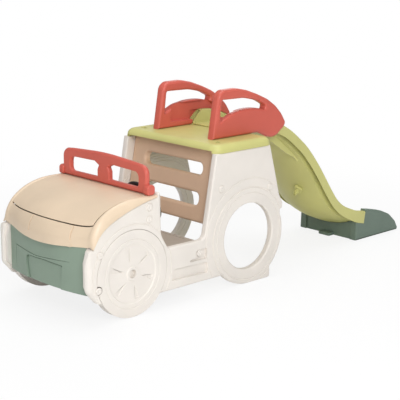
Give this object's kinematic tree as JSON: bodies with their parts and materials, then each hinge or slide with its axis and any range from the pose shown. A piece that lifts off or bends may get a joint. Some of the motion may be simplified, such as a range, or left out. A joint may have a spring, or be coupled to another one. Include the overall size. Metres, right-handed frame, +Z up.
{
  "type": "car playhouse with slide",
  "caption": "Sit-in toy car with a windshield, a steering wheel and a storage hood, joined to a climbing ladder, a roof deck with handrails and a slide.",
  "frame": {"origin": "ground level below the middle of the overall box", "axes": "+X runs from the car's front bumper to the end of the slide, +Y to the car's right for a person in it, +Z up"},
  "size_m": [2.4862, 0.7146, 0.9868],
  "materials": {
    "cream": "fine moulded grain",
    "beige": "fine moulded grain",
    "sage": "fine moulded grain",
    "slate_green": "fine moulded grain",
    "coral": "satin",
    "lime": "satin",
    "tan": "fine moulded grain",
    "taupe": "fine moulded grain",
    "black": "satin"
  },
  "bodies": {
    "playhouse": {"left_side_panel": "cream", "right_side_panel": "cream", "left_front_wheel": "cream", "right_front_wheel": "cream", "dashboard": "cream", "steering_column": "cream", "left_hub_bolt": "cream", "right_hub_bolt": "cream", "left_cowl_screw_upper": "cream", "left_cowl_screw_lower": "cream", "left_fender_screw_upper": "cream", "left_fender_screw_lower": "cream", "left_sill_screw": "cream", "left_cab_screw_front": "cream", "left_cab_screw_rear": "cream", "right_cowl_screw_upper": "cream", "right_cowl_screw_lower": "cream", "right_fender_screw_upper": "cream", "right_fender_screw_lower": "cream", "right_sill_screw": "cream", "right_cab_screw_front": "cream", "right_cab_screw_rear": "cream", "hood_frame": "beige", "front_bumper": "sage", "slide_foot": "slate_green", "windshield": "coral", "left_handrail": "coral", "right_handrail": "coral", "roof_deck": "lime", "slide_chute": "lime", "hose_connector": "lime", "ladder_panel": "tan", "seat": "taupe", "storage_bin": "taupe", "left_hinge_pin": "black", "right_hinge_pin": "black"},
    "hood_lid": {"hood_lid": "beige"},
    "steering": {"steering_wheel": "black", "steering_hub_cap": "black", "steering_shaft": "black", "steering_collar": "black"}
  },
  "joints": [
    {"name": "hood_lid_hinge", "type": "hinge", "parent": "playhouse", "child": "hood_lid", "pos_m": [-0.8685, 0, 0.549], "axis": [0, 1, 0], "range_deg": [0, 75]},
    {"name": "steering_turn", "type": "hinge", "parent": "playhouse", "child": "steering", "pos_m": [-0.7185, -0.147, 0.478], "axis": [0.9063, 0, 0.4226], "continuous": true}
  ]
}
